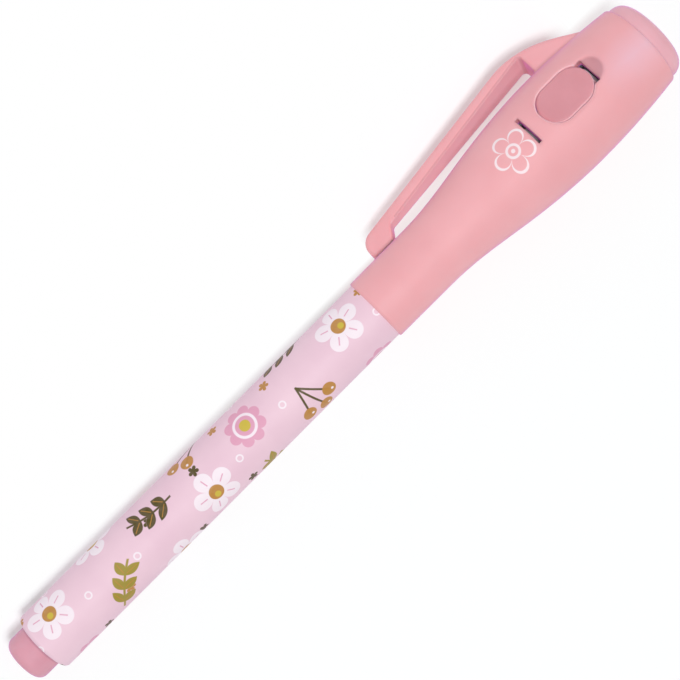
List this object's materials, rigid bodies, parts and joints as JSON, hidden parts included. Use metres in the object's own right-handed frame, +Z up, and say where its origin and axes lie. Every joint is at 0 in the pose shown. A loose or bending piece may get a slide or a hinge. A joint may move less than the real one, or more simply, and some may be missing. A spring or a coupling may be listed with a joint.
{
  "type": "invisible ink pen",
  "caption": "Capped fibre-tip pen for invisible ink; its flared cap has a pocket clip and an ultraviolet torch with a push button.",
  "frame": {"origin": "on the pen's axis, in the plane where the cap's rim meets the barrel's shoulder", "axes": "+X along the pen's axis towards the light, +Y to the clip's side, +Z up as the pen lies on a table leaning on its clip"},
  "size_m": [0.1336, 0.0205, 0.0164],
  "materials": {
    "barrel_print": "printed satin plastic",
    "plug_plastic": "moulded satin plastic",
    "ink_fibre": "pressed fibre",
    "clear_film": "thin clear film",
    "nib_fibre": "pressed fibre",
    "cap_plastic": "moulded satin plastic",
    "liner_plastic": "natural moulded plastic",
    "button_plastic": "moulded matte plastic",
    "bezel_plastic": "moulded satin plastic",
    "clear_epoxy": "clear cast resin",
    "tinned_wire": "tinned wire",
    "emitter": "matt chip",
    "tray_plastic": "natural moulded plastic",
    "spring_steel": "nickel-plated rolled strip",
    "cell_steel": "nickel-plated steel"
  },
  "bodies": {
    "pen": {"barrel": "barrel_print", "rear_plug": "plug_plastic", "ink_reservoir": "ink_fibre", "reservoir_wrap": "clear_film", "fibre_nib": "nib_fibre"},
    "cap": {"cap_shell": "cap_plastic", "inner_cap": "liner_plastic"},
    "button": {"push_button": "button_plastic"},
    "light_module": {"light_bezel": "bezel_plastic", "uv_led": "clear_epoxy", "led_anode_lead": "tinned_wire", "led_cathode_lead": "tinned_wire", "led_chip": "emitter", "battery_tray": "tray_plastic", "contact_strip": "spring_steel", "button_cell_1": "cell_steel", "button_cell_2": "cell_steel", "button_cell_3": "cell_steel"}
  },
  "joints": [
    {"name": "cap_pull", "type": "slide", "parent": "pen", "child": "cap", "axis": [1, 0, 0], "range_m": [0, 0.04]},
    {"name": "button_press", "type": "slide", "parent": "cap", "child": "button", "axis": [0, -0.4478, -0.8942], "range_m": [0, 0.0007], "stiffness_N_per_m": 600, "springref_m": -0.0004, "deforming": ["contact_strip"]},
    {"name": "light_module_pull", "type": "slide", "parent": "cap", "child": "light_module", "axis": [1, 0, 0], "range_m": [0, 0.03]}
  ]
}
